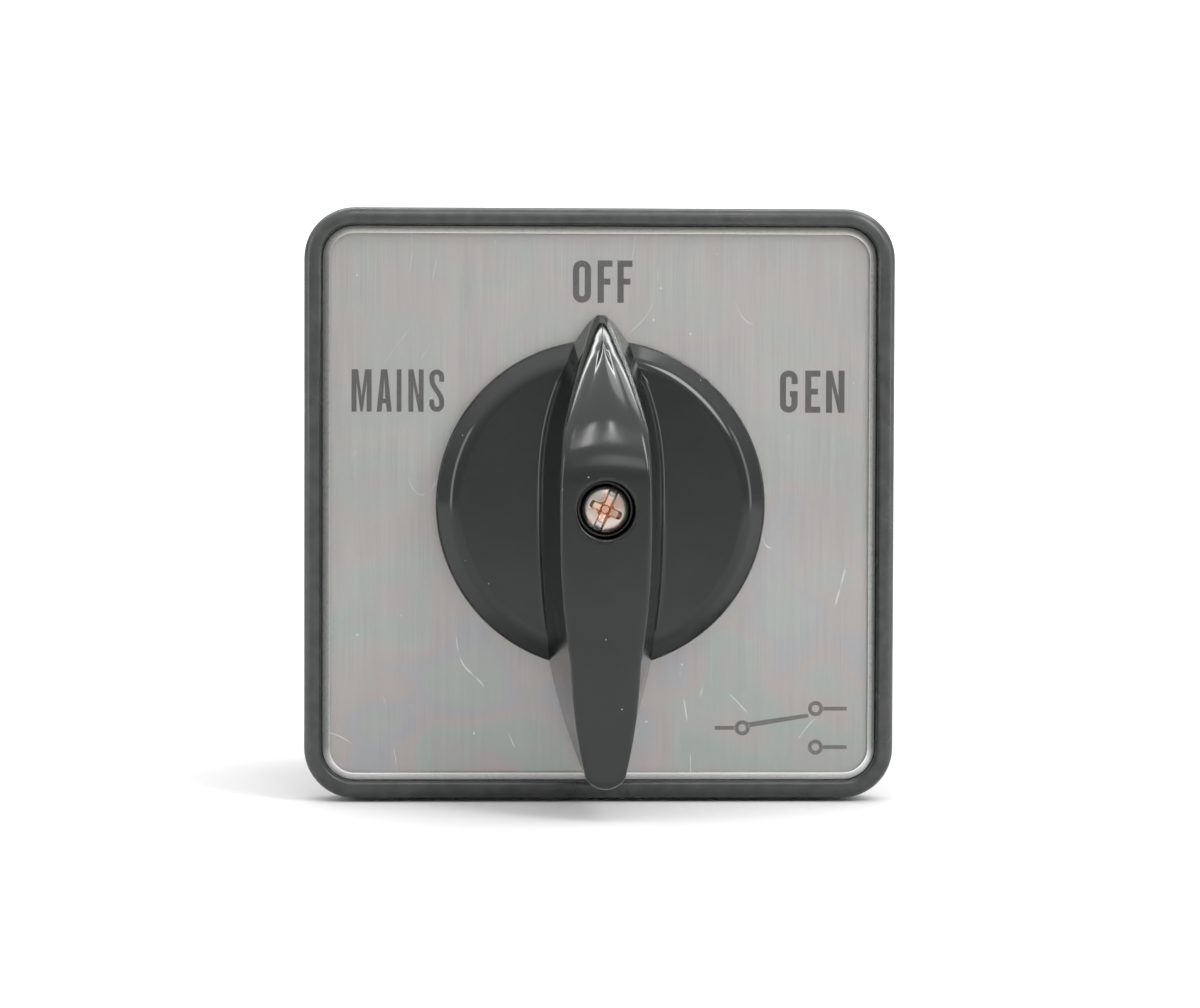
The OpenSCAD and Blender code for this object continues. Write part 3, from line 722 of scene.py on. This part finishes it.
def disc_profile():
    """From the middle of the disc's face to its rim, down its side and back under it. Two arcs,
    both tangent to the slope, join it to the face and to the side."""
    face_edge = disc_r - disc_slope_w
    end_in, end_up = disc_slope_end
    lean = np.arctan2(disc_front - disc_back - end_up, disc_slope_w - end_in)
    upper_r, lower_r = disc_arc_upper_r, disc_arc_lower_r
    slope_turn = 90 - np.degrees(lean)
    upper_x = face_edge - upper_r * np.tan(lean / 2)
    lower_z = (((face_edge - disc_r + lower_r) * np.sin(lean) - lower_r) / np.cos(lean)) + disc_front
    hollow_r, hollow_z = disc_r - disc_wall, disc_back + disc_hollow
    return np.concatenate([
        [(axis_r, disc_front)],
        arc((upper_x, disc_front - upper_r), upper_r, 90, slope_turn, 12),
        arc((disc_r - lower_r, lower_z), lower_r, slope_turn, 0, 8),
        [(disc_r, disc_back + 0.2), (disc_r - 0.06, disc_back + 0.06), (disc_r - 0.2, disc_back)],
        [(hollow_r, disc_back), (hollow_r, hollow_z), (hub_ring_r, hollow_z), (hub_ring_r, disc_back)],
        [(hub_r, disc_back), (hub_r, hub_back), (axis_r, hub_back)]])


def tapered(u, reach, past, power, end_w):
    """1 at the shaft, falling as 1 - (u / (reach + past))^power, with the last end_w before reach
    closed by a quarter of an ellipse."""
    fall = 1 - (np.clip(u, 0, None) / (reach + past)) ** power
    into_end = np.clip((u - reach + end_w) / end_w, 0, 1)
    return fall * np.sqrt(np.clip(1 - into_end ** 2, 0, 1))


def outline(u):
    """Half width of the grip at the disc's face, along the grip."""
    nose = tapered(u, tip_reach, nose_past, nose_power, nose_end_w)
    tail = tapered(-u, tail_reach, tail_past, tail_power, tail_end_w)
    return grip_half_w * np.where(u > 0, nose, tail)


def spine(u):
    """Height of the grip's top: flat over the shaft and the tail, falling to the tip as t^2, with
    a small round at each end."""
    t = np.clip((u - flat_end) / (tip_reach - flat_end), 0, 1)
    nose = (grip_top - grip_under - tip_h) * t ** 2
    into_tip = np.clip((u - tip_reach + 1.1) / 1.1, 0, 1)
    into_tail = np.clip((-u - tail_reach + 0.9) / 0.9, 0, 1)
    tip_round, tail_round = (1 - np.sqrt(1 - into ** 2) for into in (into_tip, into_tail))
    return grip_top - nose - 0.8 * tip_round - 0.9 * tail_round


def grip_grid(stations=170):
    """Cross sections along the grip. Each runs from the left foot over the top to the right foot:
    a crowned top, a round edge, a flank at outline(u) - lean (z - disc_front) from the middle,
    and over the disc a concave fillet that ends just above its face, then a drop into it. Past
    the disc the foot rises to the grip's underside, and the fillet gives way to a round edge."""
    share = (1 - np.cos(np.pi * np.linspace(0, 1, stations))) / 2
    u = -tail_reach + share * (tip_reach + tail_reach)
    half, top = outline(u), spine(u)
    lean = np.where(u > 0, grip_lean + nose_lean * np.clip((u - nose_lean_from) / nose_lean_over, 0, 1),
                    grip_lean * (1 - np.clip((-u - 16) / 13, 0, 1)))
    reach = np.hypot(half, u)
    sunk = disc_front - 0.6
    foot = sunk - (sunk - grip_under) * smooth(reach, disc_r - 2.7, disc_r - 1.7)
    fillet = fillet_r * (1 - smooth(reach, disc_r - 3.9, disc_r - 2.7))
    under_r = 0.3 * smooth(reach, disc_r - 1.7, disc_r)
    low_z = np.where(fillet > 0, disc_front + fillet, foot + under_r)
    low_z = np.minimum(low_z, top - 0.5)
    on_nose = smooth(u, 2, 14)
    edge = np.minimum(flank_edge_r + (nose_edge_r - flank_edge_r) * on_nose, (top - foot) * 0.8)
    shoulder = np.maximum(half - lean * (top - edge - disc_front), 0.03)
    edge_w = np.minimum(edge, shoulder * 0.97)
    crown = nose_crown * on_nose * np.minimum(1, half / 3)
    edge_z = np.minimum(edge, top - crown - low_z - 0.02)
    rows_x, rows_z = [], []
    for t in np.linspace(0, 1, 9)[1:]:
        rows_x.append((shoulder - edge_w) * t)
        rows_z.append(top - crown * t ** 2)
    for t in np.radians(np.linspace(90, 0, 13)[1:]):
        rows_x.append(shoulder - edge_w + edge_w * np.cos(t))
        rows_z.append(top - crown - edge_z + edge_z * np.sin(t))
    flank_top = top - crown - edge_z
    for t in np.linspace(0, 1, 12)[1:]:
        rows_x.append(np.maximum(shoulder + (half - lean * (low_z - disc_front) - shoulder) * t, 0.03))
        rows_z.append(flank_top + (low_z - flank_top) * t)
    base = rows_x[-1]
    for t in np.radians(np.linspace(0, 84, 9)[1:]):
        rows_x.append(base + (fillet - np.minimum(under_r, base * 0.5)) * (1 - np.cos(t)))
        rows_z.append(low_z - np.where(fillet > 0, fillet, under_r) * np.sin(t))
    rows_x.append(rows_x[-1])
    rows_z.append(np.minimum(foot, rows_z[-1] - 0.001))
    x, z = np.array(rows_x).T, np.array(rows_z).T
    x = np.concatenate([-x[:, ::-1], np.zeros((stations, 1)), x], axis=1)
    z = np.concatenate([z[:, ::-1], top[:, None], z], axis=1)
    return np.stack([x, np.broadcast_to(u[:, None], x.shape), z], axis=-1)


knob_disc = grid_piece("knob_disc", round_loops(disc_profile(), whole_turn(160)))
knob_grip = grid_piece("knob_grip", grip_grid())
seat_floor = grip_top - seat_depth
seat_mouth = arc((seat_r + seat_edge_r, grip_top - seat_edge_r), seat_edge_r, 180, 95, 7)
seat_profile = np.concatenate([
    [(axis_r, seat_floor), (seat_r - seat_edge_r, seat_floor), (seat_r, seat_floor + seat_edge_r)],
    seat_mouth,
    [(seat_r + 0.6, grip_top + 0.05), (seat_r + 0.6, grip_top + 1), (axis_r, grip_top + 1)]])
knob_seat = grid_piece("knob_seat", round_loops(seat_profile, whole_turn(96)))
knob = combined("knob_body", knob_disc, "UNION", [knob_grip])
knob = even_shading(combined("knob_moulding", knob, "DIFFERENCE", [knob_seat], sharp=40))
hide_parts("knob")
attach(knob, "rotor")


def glossy_phenolic():
    """Compression moulded phenolic: deep black with clear reflections, a faint orange peel 2.5 mm
    across, gloss that handling has dulled in patches, and a few grains of dust."""
    material, shader, place = new_material("moulded_gloss_black_phenolic", "0b100e", 0.12, IOR=1.5)
    feed(shader, Roughness=spread(material, noise(material, place, 7), 0.08, 0.18))
    grains = add(material, "TexVoronoi", links={"Vector": place}, Scale=1 / (2.6 * MM))
    dust = spread(material, grains.outputs["Distance"], 1, 0, 0.022, 0.036)
    coat = ramp(material, dust, [(0.0, "0b100e"), (1.0, "8f938f")])
    feed(shader, Base_Color=coat)
    bump(material, shader, noise(material, place, 2.5, 1), 0.004)
    return material


knob.data.materials.append(glossy_phenolic())


# ---- Knob screw ----
# An M3 pan-head machine screw with a slot and a cross recess, in steel that is zinc plated and
# yellow passivated. It pulls the knob down on the shaft from inside the knob's counterbore.

screw_low, screw_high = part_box("knob_screw")
head_r = screw_high.x / MM
head_front = -screw_low.y / MM
screw_tip = -screw_high.y / MM
head_h = 1.9
head_dome = 0.35
head_edge_r = 0.5
slot_half_w = 0.41
slot_turn = np.radians(66)
shank_r = 1.34


def driver_recess(along, across):
    """Depth of the recess: a slot 0.8 mm wide right across the head, a shorter arm across it that
    narrows and rises outwards, and a cone where they meet."""
    reach = np.hypot(along, across)
    in_slot = smooth(slot_half_w - np.abs(across), -0.1, 0.1)
    slot = in_slot * (0.72 + 0.3 * (1 - smooth(reach, 0.4, 1.6)))
    arm = smooth(0.46 - 0.07 * reach - np.abs(along), -0.1, 0.1) * (1 - smooth(reach, 1.35, 1.85))
    cone = 1.15 * (1 - smooth(reach, 0.35, 0.95))
    return np.maximum(np.maximum(slot, arm * (1.05 - 0.3 * reach)), cone)


def screw_head_grid(rings=60, columns=180):
    """A pan head as a height over the disc: z = front - dome (r / R)^3 - edge rounding - recess,
    out to the edge, then down the side to the seat and along the shank."""
    share = np.linspace(0.004, 1, rings)[:, None]
    t = whole_turn(columns)[None, :]
    r = head_r * share
    x, y = r * np.cos(t), r * np.sin(t)
    into_edge = np.clip((r - head_r + head_edge_r) / head_edge_r, 0, 1)
    along = x * np.cos(slot_turn) + y * np.sin(slot_turn)
    across = y * np.cos(slot_turn) - x * np.sin(slot_turn)
    z = head_front - head_dome * share ** 3 - head_edge_r * (1 - np.sqrt(1 - into_edge ** 2))
    z = np.maximum(z - driver_recess(along, across), head_front - head_h + 0.15)
    top = np.stack([x, y, z], axis=-1)
    side = round_loops([(head_r, head_front - head_h + 0.12), (head_r - 0.12, head_front - head_h),
                        (shank_r, head_front - head_h), (shank_r, screw_tip + 0.4),
                        (shank_r - 0.4, screw_tip)], t[0])
    return np.concatenate([top, side])


knob_screw = grid_piece("knob_screw_m3", screw_head_grid(), sharp=50)
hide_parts("knob_screw")
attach(knob_screw, "rotor")


def yellow_passivated_zinc():
    """Zinc plate in a yellow chromate: silver to pink over the head in patches of 2 mm, deeper
    orange towards the middle, where the film gathers in the recess, over a bright slightly rough
    metal."""
    material, shader, place = new_material("yellow_passivated_zinc", "d5cfc0", 0.2, Metallic=1.0)
    film = ramp(material, noise(material, place, 2.2, 2),
                [(0.36, "b9b7b2"), (0.46, "c4b5ae"), (0.52, "cbab9f"), (0.58, "aeaea6"), (0.66, "b6b89d")])
    axis = add(material, "Mapping", links={"Vector": place}, Scale=(1, 0, 1))
    from_axis = add(material, "VectorMath", {"operation": "LENGTH"}, {0: axis.outputs["Vector"]})
    depth = spread(material, from_axis.outputs["Value"], 1, 0, 0.5 * MM, 1.5 * MM)
    feed(shader, Base_Color=blended(material, film, "cc9c84", depth))
    feed(shader, Roughness=spread(material, noise(material, place, 0.8), 0.14, 0.26))
    bump(material, shader, noise(material, place, 0.4, 2), 0.003)
    return material


passivated = yellow_passivated_zinc()
knob_screw.data.materials.append(passivated)


# ---- Shaft and mounting plate ----
# Square steel rod that the knob turns, and the pressed steel plate behind the panel that the
# panel screws thread into. Both are bright zinc plated.

def bright_zinc():
    """Zinc plated steel: bluish silver, fine crystalline mottle of 0.6 mm, slightly dulled."""
    material, shader, place = new_material("bright_zinc_plate", "c3c6ca", 0.3, Metallic=1.0)
    mottle = noise(material, place, 0.6, 3)
    feed(shader, Base_Color=ramp(material, mottle, [(0.3, "aeb2b7"), (0.7, "cfd2d4")]))
    feed(shader, Roughness=spread(material, noise(material, place, 3), 0.24, 0.42))
    bump(material, shader, mottle, 0.003)
    return material


zinc = bright_zinc()
softened("drive_shaft", 0.2, zinc)
softened("mounting_plate", 0.25, zinc)
softened("tie_bolts", 0.15, zinc)


# ---- Latch ----
# A housing with a star wheel, two bent leaf springs that drop in its notches, and a steel disc
# whose finger meets a pin at each end of the travel.

def glass_filled_nylon():
    """Moulded glass-filled nylon: matt black with a coarse 0.3 mm grain and pale flow marks."""
    material, shader, place = new_material("moulded_glass_filled_nylon", "2a2b2d", 0.55, IOR=1.53)
    flow = noise(material, place, 5, 4, (1, 1, 0.3))
    feed(shader, Base_Color=ramp(material, flow, [(0.35, "262729"), (0.75, "35373a")]))
    feed(shader, Roughness=spread(material, noise(material, place, 1.5), 0.46, 0.64))
    bump(material, shader, noise(material, place, 0.3, 3), 0.012)
    return material


def natural_nylon():
    """Moulded unfilled nylon: creamy white, waxy, light glowing a little way into it."""
    material, shader, place = new_material("moulded_natural_nylon", "ddd6c2", 0.4, IOR=1.53,
                                           Subsurface_Weight=0.2, Subsurface_Scale=0.001)
    feed(shader, Base_Color=ramp(material, noise(material, place, 4), [(0.3, "d6ceb8"), (0.7, "e2dccb")]))
    bump(material, shader, noise(material, place, 0.3, 2), 0.005)
    return material


def spring_steel():
    """Hard rolled spring steel: grey, fairly bright, with rolling lines 0.1 mm apart."""
    material, shader, place = new_material("rolled_spring_steel", "9fa3a8", 0.28, Metallic=1.0)
    lines = noise(material, place, 0.1, 2, (0.02, 1, 1))
    feed(shader, Base_Color=ramp(material, lines, [(0.3, "8f9398"), (0.7, "afb3b7")]))
    bump(material, shader, lines, 0.002)
    return material


body_plastic, cam_plastic, steel = glass_filled_nylon(), natural_nylon(), spring_steel()
softened("latch_housing", 0.25, body_plastic)
for part in ("star_wheel", "stop_disc", "stop_pins"):
    softened(part, 0.1, cam_plastic if part == "star_wheel" else steel)
for part in ("detent_spring_top", "detent_spring_bottom"):
    finish_node(part, steel)


# ---- Switching decks ----
# One deck for each pole. Each is a nylon housing round a cam that lets two sprung contact bridges
# close, one for the mains and one for the generator, with four screw terminals in its corners.

def copper_strip():
    """Rolled copper: warm, satin, with lines along the strip and a thin brown oxide in patches."""
    material, shader, place = new_material("rolled_copper", "c98a5e", 0.32, Metallic=1.0)
    oxide = ramp(material, noise(material, place, 3, 3), [(0.35, "b06d45"), (0.7, "d39a6e")])
    feed(shader, Base_Color=oxide)
    bump(material, shader, noise(material, place, 0.15, 2, (0.05, 1, 1)), 0.003)
    return material


def brass_strip():
    """Half-hard rolled brass, blanked and bare: yellow, satin, with faint tarnish."""
    material, shader, place = new_material("rolled_brass", "cdb068", 0.3, Metallic=1.0)
    tarnish = ramp(material, noise(material, place, 3, 3), [(0.35, "b0924e"), (0.7, "d6bd7c")])
    feed(shader, Base_Color=tarnish)
    bump(material, shader, noise(material, place, 0.15, 2, (0.05, 1, 1)), 0.003)
    return material


def coil(node, wire_mm, turns=4, sides=12, per_turn=36):
    """A compression spring that fills a packed spring's box: a circle of wire carried along
    x = along, (y, z) = radius (cos t, sin t), with t running through the turns."""
    low, high = (np.array(corner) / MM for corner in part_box(node))
    middle, radius = (low + high) / 2, (high[2] - low[2]) / 2 - wire_mm / 2
    t = np.linspace(0, 2 * np.pi * turns, per_turn * turns + 1)[:, None]
    ring = whole_turn(sides)[None, :]
    along = low[0] + wire_mm / 2 + (high[0] - low[0] - wire_mm) * t / t.max()
    out = radius + wire_mm / 2 * np.cos(ring)
    grid = np.stack([along + wire_mm / 2 * np.sin(ring), middle[1] + out * np.cos(t),
                     middle[2] + out * np.sin(t)], axis=-1) * MM
    piece = mesh_piece(node + "_wound", grid, grid_faces(len(t), sides) + end_faces(len(t), sides))
    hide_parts(node)
    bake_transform(piece)
    return piece


copper, brass = copper_strip(), brass_strip()
DECK_FINISH = {
    "housing": (0.2, body_plastic), "cam": (0.1, cam_plastic), "mains_plunger": (0.1, cam_plastic),
    "gen_plunger": (0.1, cam_plastic), "mains_bridge": (0.08, copper), "gen_bridge": (0.08, copper),
    "mains_line_contact": (0.08, brass), "mains_load_contact": (0.08, brass),
    "gen_line_contact": (0.08, brass), "gen_load_contact": (0.08, brass),
    "terminal_screws": (0.12, passivated), "clamp_saddles": (0.08, zinc), "load_link": (0.1, copper)}
deck_count = sum(node.endswith("_housing") and node.startswith("deck_") for node in frame["nodes"])
for deck in range(1, deck_count + 1):
    for part, (width, material) in DECK_FINISH.items():
        softened(f"deck_{deck}_{part}", width, material)
    for side in ("mains", "gen"):
        coil(f"deck_{deck}_{side}_spring", 0.5).data.materials.append(steel)


# ---- End cover ----
# A flat nylon moulding that closes the last deck and carries the shaft's rear journal. The tie
# bolts hold it.

softened("end_cover", 0.3, body_plastic)


# ---- Floor, light and camera ----
# A pale sweep, white surroundings that brighten overhead, soft lights at both sides and above on
# the right, two thin tubes that streak the knob's nose, and a wash on the wall behind. The lens is
# long, a little to the left of the shaft and above it. Sizes here are in metres.

floor_gap = 0.0004
floor_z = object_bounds()[0].z - floor_gap
sweep_front, sweep_half_w, wall_top = -2.5, 3.5, 3.5
bend_y, bend_r = 1.6, 0.8


def pale_sweep():
    """A floor that curves up into a wall far behind: z = 0 up to the bend, a quarter circle, then
    straight up, drawn out sideways."""
    bend = arc((bend_y, bend_r), bend_r, -90, 0, 16)
    path = np.concatenate([[(sweep_front, 0)], bend, [(bend_y + bend_r, wall_top)]])
    count = len(path)
    points = np.concatenate([np.column_stack([np.full(count, x), path[:, 0], path[:, 1] + floor_z])
                             for x in (-sweep_half_w, sweep_half_w)])
    faces = [[k, k + 1, count + k + 1, count + k] for k in range(count - 1)]
    mesh = bpy.data.meshes.new("sweep")
    mesh.from_pydata(points.tolist(), [], faces)
    mesh.polygons.foreach_set("use_smooth", [True] * len(mesh.polygons))
    return placed("sweep", mesh)


def matt_paper():
    """Matt white background paper, with the faintest tooth."""
    material, shader, place = new_material("matt_background_paper", "d2d2d2", 0.9)
    bump(material, shader, noise(material, place, 1.5, 2), 0.01)
    return material


sweep = pale_sweep()
sweep.data.materials.append(matt_paper())

world = bpy.data.worlds.new("soft_daylight")
world.use_nodes = True
nodes, links = world.node_tree.nodes, world.node_tree.links
sky_place = nodes.new("ShaderNodeTexCoord")
sky_height = nodes.new("ShaderNodeSeparateXYZ")
sky_glow = nodes.new("ShaderNodeMapRange")
sky_glow.interpolation_type = "SMOOTHSTEP"
for socket, value in (("From Min", 0.1), ("From Max", 0.95), ("To Min", 0.76), ("To Max", 1.6)):
    sky_glow.inputs[socket].default_value = value
links.new(sky_place.outputs["Generated"], sky_height.inputs["Vector"])
links.new(sky_height.outputs["Z"], sky_glow.inputs["Value"])
links.new(sky_glow.outputs["Result"], nodes["Background"].inputs["Strength"])
nodes["Background"].inputs["Color"].default_value = linear("ffffff")
bpy.context.scene.world = world


def soft_light(name, place, width, height, glow, aim=(0, 0, 0), lean=0):
    """A rectangular area light at a place, aimed at a point and turned by lean degrees about that
    line. glow is its brightness beside the white surroundings."""
    light = bpy.data.lights.new(name, "AREA")
    light.shape, light.size, light.size_y = "RECTANGLE", width, height
    light.energy = glow * np.pi * width * height
    lamp = placed(name, light)
    lamp.location = place
    facing = (Vector(aim) - Vector(place)).to_track_quat("-Z", "Y")
    lamp.rotation_euler = (facing @ Quaternion((0, 0, 1), np.radians(lean))).to_euler()


soft_light("window_right", (0.66, -0.18, 0.12), 0.2, 0.42, 2.8)
soft_light("window_left", (-0.64, -0.2, 0.10), 0.2, 0.5, 3)
soft_light("upper_right", (0.36, -0.44, 0.42), 0.2, 0.44, 8.5)
soft_light("behind_right", (0.24, 0.12, 0.53), 0.2, 0.25, 2.5)
soft_light("low_right", (0.06, -0.62, 0.28), 0.1, 0.14, 2.2)
soft_light("tube_left", (-0.040, -0.36, 0.475), 0.012, 0.22, 22, lean=10)
soft_light("tube_right", (0.045, -0.35, 0.48), 0.012, 0.2, 22, lean=-9)
soft_light("wall_wash", (0.0, 0.9, 1.9), 3.0, 0.6, 12, aim=(0, 2.4, 0.6))

camera_data = bpy.data.cameras.new("camera")
camera = placed("camera", camera_data)
bpy.context.scene.camera = camera
distance = 0.42
frame_w = 0.1298  # how much the picture takes in across, at the front of the rim
sensor_w = 36
left, above, roll = np.radians([2.0, 2.0, 0.17])
away = Vector((-np.sin(left) * np.cos(above), -np.cos(left) * np.cos(above), np.sin(above)))
camera.location = Vector((0, -rim_top * MM, 0)) + away * distance
camera.rotation_mode = "QUATERNION"
camera.rotation_quaternion = (-away).to_track_quat("-Z", "Y") @ Quaternion((0, 0, 1), roll)
camera_data.sensor_width = sensor_w
camera_data.lens = sensor_w * distance / frame_w
bpy.context.scene.view_settings.view_transform = "Standard"
